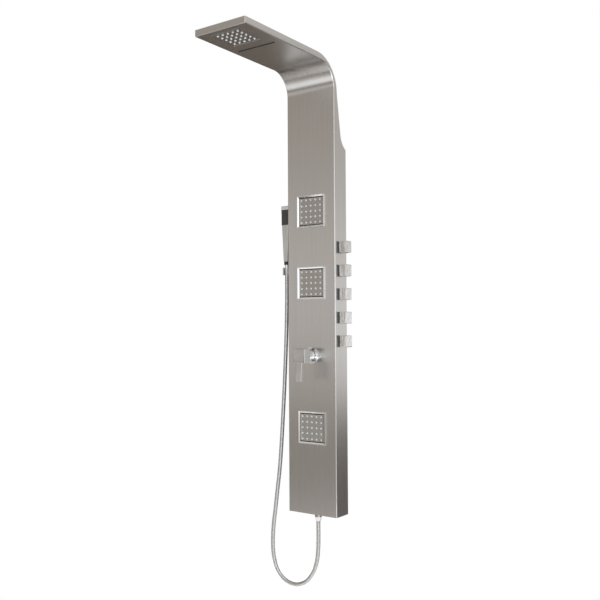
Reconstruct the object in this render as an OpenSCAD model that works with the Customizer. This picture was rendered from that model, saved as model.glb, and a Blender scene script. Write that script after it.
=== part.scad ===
// Wall-hung rainfall shower column: a folded steel casing with a forward arm and rain head,
// three tilting body jets, five square valve knobs, a lever mixer and a hand shower on a hose.
// +Z is up, the wall is the plane Y = 0 and the front faces -Y.
// The origin is the middle of the upper wall bracket's screws, on the wall.

/* [Casing] */
// Width of the casing
col_w = 200; // [180:1:240]
// Depth of the column from the wall to its front face
col_d = 72; // [66:1:90]
// Height from the lower end of the column to the upper bracket
col_below = 1190; // [1150:1:1500]
// Height from the upper bracket to the top of the arm
head_rise = 376; // [345:1:460]
// Reach of the arm in front of the column
arm_reach = 479; // [450:1:580]
// Depth of the arm from its underside to its top
arm_t = 22; // [22:0.5:30]
// Thickness of the sheet steel
sheet_t = 1.5; // [1:0.1:1.8]
// Outside radius of the long folded edges
fold_r = 4; // [3:0.5:6]
// Radius of the bend on its inner face
bend_r = 80; // [70:1:96]
// Depth of the casing where the bend ends
throat_t = 18; // [16:0.5:22]
// Height of the shoulder corner above the upper bracket
shoulder_z = 73; // [50:1:86]
// Height of the shoulder curve above its corner
shoulder_h = 42; // [34:1:50]
// Depth of the neck just above the shoulder
neck_d = 40; // [33:1:48]

/* [Rain head] */
// Side of the square spray opening
spray_open = 114; // [110:1:136]
// Distance from the front of the head to the spray opening
spray_front = 22; // [18:1:27]
// Distance between rain nozzles
rain_pitch = 20; // [17:0.5:22]
// Nozzles along each side of a spray plate
nozzle_rows = 5; // [3:1:5]
// Radius of a rubber nozzle where it meets its plate
nozzle_r = 3.6; // [3:0.1:4.3]
// Length of the waterfall slot
slot_l = 146; // [122:1:160]
// Width of the waterfall slot
slot_w = 6; // [5:0.5:7]
// Distance from the spray opening to the middle of the slot
slot_back = 43; // [36:1:52]

/* [Body jets] */
// Height of the upper jet below the origin
jet_upper = 140; // [117:1:150]
// Height of the middle jet below the origin
jet_middle = 391; // [380:1:400]
// Height of the lower jet below the origin
jet_lower = 893; // [860:1:950]
// Outer side of a jet frame
jet_frame_w = 113; // [109:1:118]
// Side of the jet plate
jet_plate_w = 97.4; // [90:0.2:97.4]
// Distance between jet nozzles
jet_pitch = 19.5; // [16:0.5:20]
// Thickness of the jet plate
jet_plate_t = 8; // [7:0.5:9]
// How far a jet frame stands proud of the casing
jet_proud = 5; // [4:0.5:6]

/* [Valve knobs] */
// Height of the middle knob below the origin
knob_mid = 431.5; // [425:0.5:440]
// Distance between knobs
knob_pitch = 81; // [68:1:90]
// Side of a knob's square face
knob_w = 40; // [34:1:48]
// Thickness of a knob
knob_t = 23.5; // [20:0.5:28]
// Thickness of the collar behind a knob
collar_t = 6; // [5:0.5:8]
// Gap between a knob and its collar
knob_gap = 1.4; // [1.2:0.1:2]
// Radius of a valve spindle
spindle_r = 4; // [3.5:0.1:4.8]

/* [Mixer] */
// Height of the mixer below the origin
mixer_down = 642; // [630:1:660]
// Radius of the wall flange
flange_r = 28; // [24:0.5:33]
// Thickness of the wall flange
flange_t = 5; // [4:0.5:6]
// Radius of the sleeve
sleeve_r = 18.5; // [17:0.5:18.5]
// Distance from the casing to the lever's pivot
pivot_out = 41; // [36:1:49]
// Width of the lever hub
hub_w = 45; // [45:1:54]
// Depth of the lever hub
hub_d = 35; // [32:1:42]
// Height of the lever hub
hub_h = 48; // [46:1:57]
// Width of the lever
lever_w = 22; // [18:1:26]
// Thickness of the lever where it leaves the hub
lever_t = 7; // [6:0.5:8]
// Thickness of the lever at its lower end
lever_tip = 11; // [8:0.5:12]
// Length of the lever below its hub
lever_l = 62; // [52:1:74]
// Forward lean of the lever in degrees
lever_lean = 6; // [4:1:8]

/* [Hand shower] */
// Distance from the casing's side to the hand shower's axis
hand_out = 31; // [29:1:37]
// Height of the holder cup's rim below the origin
cup_down = 330; // [320:1:340]
// Height of the holder cup
cup_h = 26; // [22:1:31]
// Outer radius of the holder cup
cup_r = 15; // [14.5:0.5:17]
// Length of the hand shower's handle and head
hand_l = 201; // [170:1:240]
// Width of the hand shower at its head
hand_head_w = 34; // [26:1:38]
// Width and depth of the hand shower at its foot
hand_foot_w = 18; // [16:1:22]
// Depth of the hand shower at its head
hand_d = 24; // [20:1:28]
// Diameter of the shower hose
hose_d = 14; // [12:0.5:14]

/* [Hidden] */
$fn = 48;

steel = [0.66, 0.64, 0.61];
chrome = [0.86, 0.87, 0.88];
brass = [0.78, 0.64, 0.35];
rubber = [0.9, 0.9, 0.87];
dark = [0.16, 0.16, 0.16];
tubing = [0.82, 0.84, 0.84];

eps = 0.5;
front_y = -col_d;
bend_y = front_y - bend_r;
under_z = head_rise - arm_t;
bend_z = under_z - bend_r;
skin_in = front_y + sheet_t;
flange_in = col_w / 2 - sheet_t;
arm_end_y = front_y - arm_reach;
neck_z = shoulder_z + shoulder_h;

// Outer arc of the bend: it meets the arm's top and the back of the throat
outer_r = bend_r + 36;
outer_y = front_y + throat_t - outer_r;
outer_z = head_rise - outer_r;

// Heights of the five knobs, from the top down
function knob_z(i) = -knob_mid + (2 - i) * knob_pitch;
valve_y = -col_d / 2;

// A square with round corners, centred
module soft_square(w, h, r) {
    square([w - 2 * r, h], center = true);
    square([w, h - 2 * r], center = true);
    for (x = [-1, 1], y = [-1, 1]) translate([x * (w / 2 - r), y * (h / 2 - r)]) circle(r);
}

// Extrudes an outline drawn in Y and Z across the width w
module across(w) {
    translate([-w / 2, 0, 0]) rotate([90, 0, 90]) linear_extrude(w) children();
}

// Extrudes an outline drawn in X and Z forwards, from y towards -Y
module forward(y, l) {
    translate([0, y, 0]) rotate([90, 0, 0]) linear_extrude(l) children();
}

// Cylinders along the three axes
module rod_x(x, y, z, r, l) { translate([x, y, z]) rotate([0, 90, 0]) cylinder(r = r, h = l); }
module rod_y(x, y, z, r, l) { translate([x, y, z]) rotate([-90, 0, 0]) cylinder(r = r, h = l); }
module rod_z(x, y, z, r, l) { translate([x, y, z]) cylinder(r = r, h = l); }

// A tube swept along points by a rule: each span is cut in steps on a smooth curve
function spline(a, b, c, d, t) = 0.5 * ((2 * b) + (c - a) * t + (2 * a - 5 * b + 4 * c - d) * t * t
    + (3 * b - a - 3 * c + d) * t * t * t);
function smooth_path(p, steps) = let (n = len(p)) [
    for (i = [0 : n - 2], k = [0 : steps - 1])
        spline(p[max(i - 1, 0)], p[i], p[i + 1], p[min(i + 2, n - 1)], k / steps),
    p[n - 1]];
function unit(v) = v / norm(v);
function tangent(q, i) = unit(q[min(i + 1, len(q) - 1)] - q[max(i - 1, 0)]);
function side_of(t) = unit(cross(t, abs(t.y) < 0.9 ? [0, 1, 0] : [1, 0, 0]));

module swept_tube(p, d, steps = 2, sides = 10) {
    q = smooth_path(p, steps);
    n = len(q);
    m = len(p) - 1;
    ring = [for (i = [0 : n - 1]) let (t = i == 0 ? unit(p[1] - p[0]) : i == n - 1
        ? unit(p[m] - p[m - 1]) : tangent(q, i), u = side_of(t), v = cross(t, u))
        for (k = [0 : sides - 1]) let (a = 360 * k / sides) q[i] + d / 2 * (cos(a) * u + sin(a) * v)];
    walls = [for (i = [0 : n - 2], k = [0 : sides - 1]) let (a = i * sides + k,
        b = i * sides + (k + 1) % sides) [b, a, a + sides, b + sides]];
    first = [for (k = [0 : sides - 1]) k];
    last = [for (k = [sides - 1 : -1 : 0]) (n - 1) * sides + k];
    polyhedron(points = ring, faces = concat(walls, [first, last]));
}

// ---- casing ----

// Section of the folded tray: the skin lies along X at depth 0 and the flanges run back
module tray_outline(w, depth, r) {
    translate([-w / 2 + r, 0]) square([w - 2 * r, depth]);
    translate([-w / 2, r]) square([w, depth - r]);
    for (x = [-1, 1]) translate([x * (w / 2 - r), r]) circle(r);
}

module tray_section(depth) {
    difference() {
        tray_outline(col_w, depth, fold_r);
        translate([0, sheet_t]) tray_outline(col_w - 2 * sheet_t, depth + 1, fold_r - sheet_t);
    }
}

// Everything behind the back edge of the neck and outside the bend, in Y and Z
shoulder_r = 68;
function arc_centre() = let (cy = neck_d - col_d, cz = shoulder_h, l = norm([cy, cz]),
    lift = sqrt(shoulder_r * shoulder_r - l * l / 4)) [cy / 2 + lift * cz / l,
    shoulder_z + cz / 2 - lift * cy / l];
module behind_neck() {
    back = front_y + throat_t;
    difference() {
        translate([back, shoulder_z]) square([col_d, outer_z - shoulder_z + eps]);
        polygon([[back - 1, shoulder_z - 1], [0, shoulder_z - 1], [0, shoulder_z],
            [front_y + neck_d, neck_z], [back, outer_z], [back - 1, outer_z]]);
    }
    translate(arc_centre()) circle(shoulder_r, $fn = 180);
    difference() {
        translate([outer_y, outer_z]) square(outer_r + 60);
        translate([outer_y, outer_z]) circle(outer_r, $fn = 180);
    }
}

module casing_tray() {
    translate([0, front_y, -col_below]) linear_extrude(col_below + bend_z) tray_section(col_d);
    translate([0, bend_y, bend_z]) rotate([90, 0, 90])
        rotate_extrude(angle = 90, $fn = 180) translate([bend_r, 0]) rotate(-90)
            tray_section(outer_r - bend_r + 20);
    translate([0, 0, under_z]) forward(bend_y, arm_reach - bend_r) tray_section(arm_t);
    translate([0, 0, under_z]) forward(arm_end_y + sheet_t, sheet_t)
        tray_outline(col_w, arm_t, fold_r);
}

jet_rim = 3;
jet_hole = jet_frame_w - 2 * jet_rim - 1;
spray_y = arm_end_y + spray_front + spray_open / 2;
slot_y = spray_y + spray_open / 2 + slot_back;
mixer_z = -mixer_down;
valve_hole_r = 12;
holder_z = -cup_down - cup_h / 2;
holder_screw_gap = 26;
screw_r = 2;
outlet_r = 10.5;
cap_t = sheet_t;

module casing() color(steel) difference() {
    casing_tray();
    across(col_w + 2) behind_neck();
    translate([0, spray_y, under_z]) cube([spray_open, spray_open, 3 * fold_r], center = true);
    translate([0, slot_y, under_z]) cube([slot_l, slot_w, 3 * fold_r], center = true);
    for (z = [-jet_upper, -jet_middle, -jet_lower])
        translate([0, front_y, z]) cube([jet_hole, 4 * sheet_t, jet_hole], center = true);
    rod_y(0, front_y - 1, mixer_z, cart_r + 1, sheet_t + 2);
    for (i = [0 : 4]) rod_x(flange_in - 1, valve_y, knob_z(i), valve_hole_r, sheet_t + 2);
    for (s = [-1, 1]) rod_x(-col_w / 2 - 1, valve_y, holder_z + s * holder_screw_gap / 2,
        screw_r + 0.3, sheet_t + 2);
}

// The cover lies between the flanges and closes the arm, the bend and the neck from behind
module cover_profile() {
    inner_r = outer_r - sheet_t;
    back = front_y + throat_t;
    neck_back = front_y + neck_d;
    translate([arm_end_y + sheet_t, head_rise - sheet_t])
        square([outer_y - arm_end_y - sheet_t, sheet_t]);
    intersection() {
        translate([outer_y, outer_z]) square(outer_r + 1);
        translate([outer_y, outer_z]) difference() {
            circle(outer_r, $fn = 180);
            circle(inner_r, $fn = 180);
        }
    }
    polygon([[back - sheet_t, outer_z], [back, outer_z], [neck_back, neck_z],
        [neck_back - sheet_t, neck_z]]);
}
module arm_cover() color(steel) across(2 * flange_in) cover_profile();

module bottom_cap() color(steel) {
    w = 2 * flange_in;
    d = col_d - fold_r;
    z = -col_below;
    difference() {
        union() {
            translate([-w / 2, -d, z]) cube([w, d, cap_t]);
            for (x = [0, 1]) translate([-w / 2 + x * (w - cap_t), -d, z]) cube([cap_t, d, 18]);
        }
        rod_z(0, valve_y, z - 1, outlet_r + 0.5, cap_t + 2);
    }
}

// ---- wall brackets ----

plate_t = 2.5;
bracket_x = 130;
bracket_z = 36;
bracket_hole_r = 3;
lower_z = -col_below + 90;
hook_z = 27;
hook_y = -12;
hook_top = hook_z - plate_t + 14;

module upper_bracket() color(steel) difference() {
    union() {
        translate([-80, -plate_t, -28]) cube([160, plate_t, hook_z + 28]);
        translate([-80, hook_y, hook_z - plate_t]) cube([160, -hook_y, plate_t]);
        translate([-80, hook_y, hook_z - plate_t]) cube([160, plate_t, 14]);
    }
    for (x = [-1, 1], z = [-1, 1]) rod_y(x * bracket_x / 2, -plate_t - 1, z * bracket_z / 2,
        bracket_hole_r, plate_t + 2);
}

module hanger_rail() color(steel) {
    t = 2;
    w = 2 * flange_in;
    rail_y = hook_y - 6;
    down_y = hook_y + plate_t + 1.5;
    top_z = hook_top + t;
    translate([-w / 2, rail_y, -24]) cube([w, t, top_z + 24]);
    translate([-w / 2, rail_y, top_z - t]) cube([w, down_y + t - rail_y, t]);
    translate([-w / 2, down_y, hook_z + 1]) cube([w, t, top_z - hook_z - 1]);
    for (x = [0, 1]) translate([-w / 2 + x * (w - t), rail_y - 14, -24]) cube([t, 15, 48]);
}

lower_x = 150;
module lower_bracket() color(steel) {
    w = 2 * flange_in;
    difference() {
        union() {
            translate([-w / 2, -plate_t, lower_z - 20]) cube([w, plate_t, 40]);
            for (x = [0, 1]) translate([-w / 2 + x * (w - plate_t), -28, lower_z - 20])
                cube([plate_t, 28, 40]);
        }
        for (x = [-1, 1]) rod_y(x * lower_x / 2, -plate_t - 1, lower_z, bracket_hole_r, plate_t + 2);
    }
}

// ---- rain head ----

spray_t = 1.2;
seal_t = 1;
spray_z = under_z + sheet_t;
seal_z = spray_z + spray_t;
chamber_z = seal_z + seal_t;
chamber_h = arm_t - 2 * sheet_t - spray_t - seal_t - 2;
spray_w = spray_open + 12;
tube_d = 8;
arm_tube_z = chamber_z + 4;
saddle_h = 7.6;
over_z = spray_z + saddle_h + 0.6 + tube_d / 2;
spout_w = slot_l - 1;

function grid(n, p) = [for (i = [0 : n - 1], j = [0 : n - 1]) [(i - (n - 1) / 2) * p,
    (j - (n - 1) / 2) * p]];

module spray_plate() color(dark) difference() {
    translate([0, spray_y, spray_z]) linear_extrude(spray_t) square(spray_w, center = true);
    for (g = grid(nozzle_rows, rain_pitch)) rod_z(g.x, spray_y + g.y, spray_z - 1, nozzle_r - 1,
        spray_t + 2);
}

// A rubber nozzle along +Z: a nub outside its plate and a stem through it
module nozzle(r, nub, stem) {
    rotate_extrude($fn = 32) polygon([[0.7, -stem], [r - 1.1, -stem], [r - 1.1, 0], [r, 0],
        [r, nub * 0.3], [r - 0.9, nub], [0.7, nub]]);
}

module rain_nozzles() color(rubber) for (g = grid(nozzle_rows, rain_pitch))
    translate([g.x, spray_y + g.y, spray_z]) rotate([180, 0, 0]) nozzle(nozzle_r, 2.6, spray_t);

module rain_gasket() color(dark) translate([0, spray_y, seal_z]) linear_extrude(seal_t) difference() {
    square(spray_w, center = true);
    square(spray_w - 10, center = true);
}

module rain_chamber() color(tubing) difference() {
    union() {
        translate([0, spray_y, chamber_z + chamber_h / 2]) cube([spray_w, spray_w, chamber_h],
            center = true);
        rod_y(tube_x(0), spray_y + spray_w / 2, over_z, 3, 12);
    }
    translate([0, spray_y, chamber_z + chamber_h / 2 - 2]) cube([spray_w - 10, spray_w - 10,
        chamber_h], center = true);
    rod_y(tube_x(0), spray_y + spray_w / 2 - 6, over_z, 2, 20);
}

// The box is low where the rain tube crosses over it
spout_left = [-slot_l / 2, tube_x(0) - 13];
spout_right = [tube_x(0) + 13, slot_l / 2];

module cascade_spout() color(dark) difference() {
    union() {
        translate([-slot_l / 2 - 5, slot_y - 13, spray_z]) cube([slot_l + 10, 26, saddle_h]);
        for (s = [spout_left, spout_right]) translate([s[0] - 5, slot_y - 13, spray_z])
            cube([s[1] - s[0] + 10, 26, chamber_h]);
        translate([-spout_w / 2, slot_y - slot_w / 2 + 0.5, under_z - 1.2])
            cube([spout_w, slot_w - 1, sheet_t + 2]);
        rod_y(tube_x(1), slot_y + 12, arm_tube_z, 3, 12);
    }
    translate([-slot_l / 2, slot_y - 10, spray_z + 3]) cube([slot_l, 20, saddle_h - 4.5]);
    for (s = [spout_left, spout_right]) translate([s[0], slot_y - 10, spray_z + 3])
        cube([s[1] - s[0], 20, chamber_h - 6]);
    translate([-spout_w / 2 + 1.5, slot_y - slot_w / 2 + 1.4, under_z - 2])
        cube([spout_w - 3, slot_w - 2.8, 8]);
    rod_y(tube_x(1), slot_y + 5, arm_tube_z, 2, 20);
}

// ---- body jets ----

jet_opening = jet_plate_w + 1.6;
jet_axis_y = front_y + jet_plate_t / 2;
jet_box_w = jet_hole - 0.6;
jet_box_d = 18;
trunnion_r = 2.5;

module jet_frame(z) color(chrome) translate([0, 0, z]) difference() {
    union() {
        forward(front_y, jet_proud) soft_square(jet_frame_w, jet_frame_w, 2.5);
        forward(front_y + jet_box_d, jet_box_d) square(jet_box_w, center = true);
        rod_y(0, front_y + jet_box_d - 1, 0, 3, 11);
    }
    forward(front_y + jet_box_d - 2, jet_box_d + jet_proud) square(jet_opening, center = true);
    translate([0, front_y - 0.8, 0]) rotate([90, 0, 0]) rotate([0, 0, 45])
        cylinder(r1 = (jet_opening / 2 + 0.4) * sqrt(2), h = jet_proud, $fn = 4,
            r2 = (jet_frame_w / 2 - jet_rim + 0.8) * sqrt(2));
    rod_x(-jet_opening / 2 - 2.6, jet_axis_y, 0, trunnion_r + 0.05, jet_opening + 5.2);
    rod_y(0, front_y + jet_box_d - 6, 0, 2, 20);
}

module jet_plate(z) color(steel) difference() {
    union() {
        translate([0, 0, z]) forward(front_y + jet_plate_t, jet_plate_t)
            soft_square(jet_plate_w, jet_plate_w, 1.5);
        rod_x(-jet_opening / 2 - 2.2, jet_axis_y, z, trunnion_r, jet_opening + 4.4);
    }
    for (g = grid(nozzle_rows, jet_pitch)) rod_y(g.x, front_y - 1, z + g.y, nozzle_r - 1,
        jet_plate_t + 2);
}

module jet_nozzles(z) color(rubber) for (g = grid(nozzle_rows, jet_pitch))
    translate([g.x, front_y, z + g.y]) rotate([90, 0, 0]) nozzle(nozzle_r, 2.2, jet_plate_t - 1);

// ---- valves and knobs ----

bar_w = 26;
bar_x = 52;
bar_face = bar_x + bar_w / 2;
bonnet_r = 11;
seat_r = 8;
knob_x = col_w / 2 + collar_t + knob_gap;
bar_low = knob_z(4) - 20;
bar_high = knob_z(0) + 20;
bar_port = 5;

module manifold() color(brass) difference() {
    union() {
        translate([bar_x - bar_w / 2, valve_y - bar_w / 2, bar_low])
            cube([bar_w, bar_w, bar_high - bar_low]);
        for (i = [0 : 4]) rod_x(bar_x - bar_w / 2 - 10, valve_y, knob_z(i), 3, 11);
        rod_z(bar_x, valve_y, bar_low - 6, 5.5, 7);
    }
    rod_z(bar_x, valve_y, bar_low - 7, bar_port - 1, bar_high - bar_low + 3);
    for (i = [0 : 4]) {
        rod_x(bar_x, valve_y, knob_z(i), seat_r, bar_w);
        rod_x(bar_x - bar_w, valve_y, knob_z(i), 2, bar_w);
    }
}

module valve_cartridges() color(brass) for (i = [0 : 4]) difference() {
    union() {
        rod_x(bar_x + 4, valve_y, knob_z(i), seat_r, bar_face - bar_x - 4);
        rod_x(bar_face, valve_y, knob_z(i), bonnet_r, col_w / 2 + 2 - bar_face);
        rod_x(flange_in - 3, valve_y, knob_z(i), bonnet_r + 3, 3);
    }
    rod_x(bar_x + 8, valve_y, knob_z(i), spindle_r + 0.05, col_w);
}

module knob_collars() color(chrome) for (i = [0 : 4]) translate([col_w / 2, valve_y, knob_z(i)])
    rotate([0, 90, 0]) linear_extrude(collar_t) difference() {
        soft_square(knob_w - 4, knob_w - 4, 3);
        circle(bonnet_r);
    }

socket_l = 12;
module knob(i) color(chrome) difference() {
    translate([knob_x, valve_y, knob_z(i)]) rotate([0, 90, 0]) linear_extrude(knob_t)
        soft_square(knob_w, knob_w, 2);
    rod_x(knob_x - 1, valve_y, knob_z(i), spindle_r, socket_l + 1);
    translate([knob_x + 6, valve_y, knob_z(i) - knob_w / 2 - 1]) cylinder(r = 1.6, h = knob_w / 2);
}

module spindle(i) color(brass) difference() {
    rod_x(bar_x + 8.5, valve_y, knob_z(i), spindle_r, knob_x + socket_l - bar_x - 8.5);
    translate([knob_x + 2, valve_y - 0.6, knob_z(i) - spindle_r - 1])
        cube([socket_l, 1.2, 2 * spindle_r + 2]);
}

// ---- mixer ----

valve_r = 21;
mixer_back = -24;
cart_r = 16;
pivot_y = front_y - pivot_out;
dome_gap = 1.8;
inlet_r = 10.48;
inlet_x = 34;
inlet_y = -34;
inlet_low = mixer_z - 72;
feed_z = mixer_z + 2;
feed_x = 33;
stem_w = 9;
pin_r = 2;
carrier_r = 10;
cart_front = front_y - 4;
cart_end = front_y + 16;

module mixer_valve() color(brass) difference() {
    union() {
        rod_y(0, front_y + sheet_t, mixer_z, valve_r, mixer_back - skin_in);
        rod_x(-inlet_x - 12, inlet_y, mixer_z - 18, 12, 2 * inlet_x + 24);
        for (x = [-1, 1]) {
            rod_z(x * inlet_x, inlet_y, inlet_low, inlet_r, 50);
            rod_z(x * inlet_x, inlet_y, inlet_low + 14, 14, 8);
        }
        rod_x(0, inlet_y, feed_z, 6, feed_x);
    }
    rod_y(0, front_y, mixer_z, cart_r, cart_end - front_y);
    rod_y(0, front_y, mixer_z, cart_r - 4, cart_end - front_y + 12);
    for (x = [-1, 1]) rod_z(x * inlet_x, inlet_y, inlet_low - 1, 7.5, 52);
    rod_x(valve_r - 6, inlet_y, feed_z, 4, feed_x);
}

module mixer_cartridge() color([0.85, 0.83, 0.78]) difference() {
    rod_y(0, cart_front, mixer_z, cart_r, cart_end - cart_front);
    rod_y(0, cart_front - 1, mixer_z, carrier_r + 0.05, 15);
}

module inlet_strainers() color(steel) for (x = [-1, 1]) difference() {
    rod_z(x * inlet_x, inlet_y, inlet_low + 1, 7.5, 9);
    rod_z(x * inlet_x, inlet_y, inlet_low, 6.2, 9);
    for (a = [0 : 5]) translate([x * inlet_x, inlet_y, inlet_low + 8]) rotate([0, 0, a * 60])
        translate([4, 0, 0]) cylinder(r = 1.2, h = 4);
}

module mixer_flange() color(chrome) difference() {
    union() {
        rod_y(0, front_y - flange_t, mixer_z, flange_r - 1.5, flange_t);
        rod_y(0, front_y - flange_t + 1.5, mixer_z, flange_r, flange_t - 1.5);
        translate([0, front_y - flange_t, mixer_z]) rotate([-90, 0, 0])
            rotate_extrude($fn = 96) translate([flange_r - 1.5, 1.5]) circle(1.5);
    }
    rod_y(0, front_y - flange_t - 1, mixer_z, sleeve_r + 0.05, flange_t + 2);
}

sleeve_wall = 2;
dome_cut = 14;
module mixer_sleeve() color(chrome) translate([0, pivot_y, mixer_z]) rotate([90, 0, 0])
    rotate_extrude($fn = 96) difference() {
        union() {
            translate([0, -pivot_out]) square([sleeve_r, pivot_out]);
            intersection() {
                circle(sleeve_r, $fn = 96);
                square([sleeve_r + 1, dome_cut]);
            }
        }
        translate([-1, -pivot_out - 1]) square([sleeve_r - sleeve_wall + 1, pivot_out + 1]);
        intersection() {
            circle(sleeve_r - sleeve_wall, $fn = 96);
            translate([-1, -0.01]) square([sleeve_r, dome_cut + 2]);
        }
    }

module stem_carrier() color([0.85, 0.83, 0.78]) difference() {
    union() {
        rod_y(0, pivot_y + 9, mixer_z, carrier_r, cart_front + 13 - pivot_y - 9);
        intersection() {
            rod_y(0, pivot_y - 6, mixer_z, carrier_r, 16);
            for (x = [-1, 1]) translate([x * (stem_w / 2 + 2.4), pivot_y + 2, mixer_z])
                cube([4, 16, 12], center = true);
        }
    }
    rod_x(-carrier_r - 1, pivot_y, mixer_z, pin_r + 0.02, 2 * carrier_r + 2);
}

module carrier_pin() color(steel) rod_x(-8.2, pivot_y, mixer_z, pin_r, 16.4);

stem_l = 22;
stem_x = stem_w / 2 - 0.2;
module stem_bar() { translate([-stem_x, pivot_y - stem_l, mixer_z - 4]) cube([2 * stem_x, stem_l, 8]); }
module mixer_stem() color(steel) difference() {
    union() {
        rod_x(-stem_x, pivot_y, mixer_z, 5, 2 * stem_x);
        stem_bar();
    }
    rod_x(-stem_w, pivot_y, mixer_z, pin_r + 0.05, 2 * stem_w);
}

// The lever is drawn in Y and Z, hanging from the hub's underside, and leans forwards
tongue = 11;
module lever_blade() {
    translate([0, pivot_y - hub_d + 1.5, mixer_z - hub_h / 2]) rotate([-lever_lean, 0, 0])
        across(lever_w) polygon([[0, tongue], [0, -lever_l], [lever_tip, -lever_l],
            [lever_tip, -lever_l + 5], [lever_t + 0.8, -lever_l + 22], [lever_t, -8],
            [lever_t, tongue]]);
}

module mixer_hub() color(chrome) difference() {
    translate([0, pivot_y, mixer_z]) rotate([90, 0, 0]) linear_extrude(hub_d)
        soft_square(hub_w, hub_h, 3);
    translate([0, pivot_y, mixer_z]) sphere(sleeve_r + dome_gap, $fn = 96);
    stem_bar();
    lever_blade();
}

module mixer_lever() color(chrome) lever_blade();

// ---- tubes inside the casing ----

function tube_x(i) = i == 0 ? -30 : 26;
port_x = bar_x - bar_w / 2 - 10;
rise_gap = sheet_t + tube_d / 2 + 1;
arm_bend = bend_r + rise_gap;
rise_y = front_y + rise_gap;
jet_port_y = front_y + jet_box_d + 10;
outlet_top = -col_below + 34;

function quarter(x, n) = [for (k = [1 : n - 1]) let (a = 90 * k / n)
    [x, bend_y + arm_bend * cos(a), arm_tube_z - arm_bend + arm_bend * sin(a)]];

function riser(i, end_y) = concat([[tube_x(i), rise_y, bend_z - 60]], [[tube_x(i), rise_y, bend_z - 20]],
    quarter(tube_x(i), 7), [[tube_x(i), bend_y - 8, arm_tube_z]],
    i == 0 ? [[tube_x(i), slot_y + 70, arm_tube_z], [tube_x(i), slot_y + 36, over_z],
        [tube_x(i), end_y, over_z]] : [[tube_x(i), end_y, arm_tube_z]]);

module feed_tube() color(tubing) swept_tube([[feed_x, inlet_y, feed_z], [feed_x + 8, inlet_y, feed_z],
    [bar_x - 3, valve_y, feed_z + 5], [bar_x, valve_y, bar_low - 12], [bar_x, valve_y, bar_low - 6]],
    10, 4, 12);

module rain_tube() color(tubing) swept_tube(concat([[port_x, valve_y, knob_z(0)],
    [port_x - 10, valve_y, knob_z(0)], [5, -32, knob_z(0) + 14], [-20, -28, knob_z(0) + 50],
    [-30, -28, knob_z(0) + 110], [-30, -28, -60], [-30, -32, 20], [-30, -50, 90],
    [-30, rise_y + 2, 150]], riser(0, spray_y + spray_w / 2 + 12)), tube_d, 2, 8);

module cascade_tube() color(tubing) swept_tube(concat([[port_x, valve_y, knob_z(1)],
    [port_x - 6, valve_y, knob_z(1)], [16, -26, knob_z(1) + 14], [14, -20, knob_z(1) + 60],
    [16, -20, knob_z(1) + 110], [22, -24, knob_z(1) + 190], [26, -28, -60], [26, -32, 20],
    [26, -50, 90], [26, rise_y + 2, 150]], riser(1, slot_y + 24)), tube_d, 2, 8);

// The tube to the upper jet branches from the middle jet's tube
module jet_tubes() color(tubing) {
    swept_tube([[port_x, valve_y, knob_z(2)], [port_x - 8, valve_y, knob_z(2)],
        [8, -33, knob_z(2) + 10], [0, -28, -jet_middle - 14], [0, jet_port_y + 10, -jet_middle],
        [0, jet_port_y, -jet_middle]], tube_d, 2, 8);
    swept_tube([[port_x, valve_y, knob_z(3)], [port_x - 10, valve_y, knob_z(3)],
        [-4, -34, knob_z(3) - 4], [-48, -30, knob_z(3) - 16], [-64, -30, mixer_z + 60],
        [-66, -30, mixer_z - 40], [-66, -28, mixer_z - 150], [-14, -26, -jet_lower + 36],
        [0, -26, -jet_lower + 10], [0, jet_port_y + 10, -jet_lower], [0, jet_port_y, -jet_lower]],
        tube_d, 2, 8);
    swept_tube([[2, -30, -jet_middle - 18], [-4, -18, -jet_middle - 6], [-8, -13, -jet_middle + 30],
        [-8, -13, -jet_middle + 100], [-6, -16, -jet_upper - 60], [0, -24, -jet_upper - 12],
        [0, jet_port_y + 10, -jet_upper], [0, jet_port_y, -jet_upper]], tube_d, 2, 8);
}

module hand_tube() color(tubing) swept_tube([[port_x, valve_y, knob_z(4)],
    [port_x - 8, valve_y, knob_z(4)], [4, -18, knob_z(4) - 8], [-60, -11, mixer_z + 20],
    [-80, -12, mixer_z - 60], [-80, -20, -800], [-80, -24, -900], [-74, -26, -1000],
    [-40, -28, -1080], [-10, -32, -1112], [0, valve_y, -1138], [0, valve_y, outlet_top]],
    tube_d, 2, 8);

// ---- hose and hand shower ----

hand_x = -col_w / 2 - hand_out;
hand_y = valve_y;
hose_r = hose_d / 2;
nut_low = -col_below - 28;
nut_bore = 6;
collar_z = -cup_down + 10;
body_z = collar_z + 12;
nut_foot = -cup_down - 28;
nut_foot_r = 8.8;
nut_top_r = 11;
cup_slack = 0.3;

module hand_outlet() color(brass) difference() {
    union() {
        rod_z(0, valve_y, -col_below - 8, outlet_r - 1, 20);
        rod_z(0, valve_y, -col_below + cap_t, outlet_r + 4, 6);
        rod_z(0, valve_y, outlet_top - 24, 6, 14);
        rod_z(0, valve_y, outlet_top - 12, 3, 12);
    }
    rod_z(0, valve_y, -col_below - 9, 2, outlet_top + col_below + 10);
}

module outlet_nut() color(chrome) translate([0, valve_y, 0]) difference() {
    union() {
        translate([0, 0, -col_below - 14]) cylinder(r = 12, h = 14);
        translate([0, 0, nut_low]) cylinder(r1 = 8.4, r2 = 12, h = 14.01);
    }
    translate([0, 0, -col_below - 9]) cylinder(r = outlet_r - 0.95, h = 12);
    translate([0, 0, nut_low - 1]) cylinder(r = hose_r + 0.2, h = nut_bore + 1);
}

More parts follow.
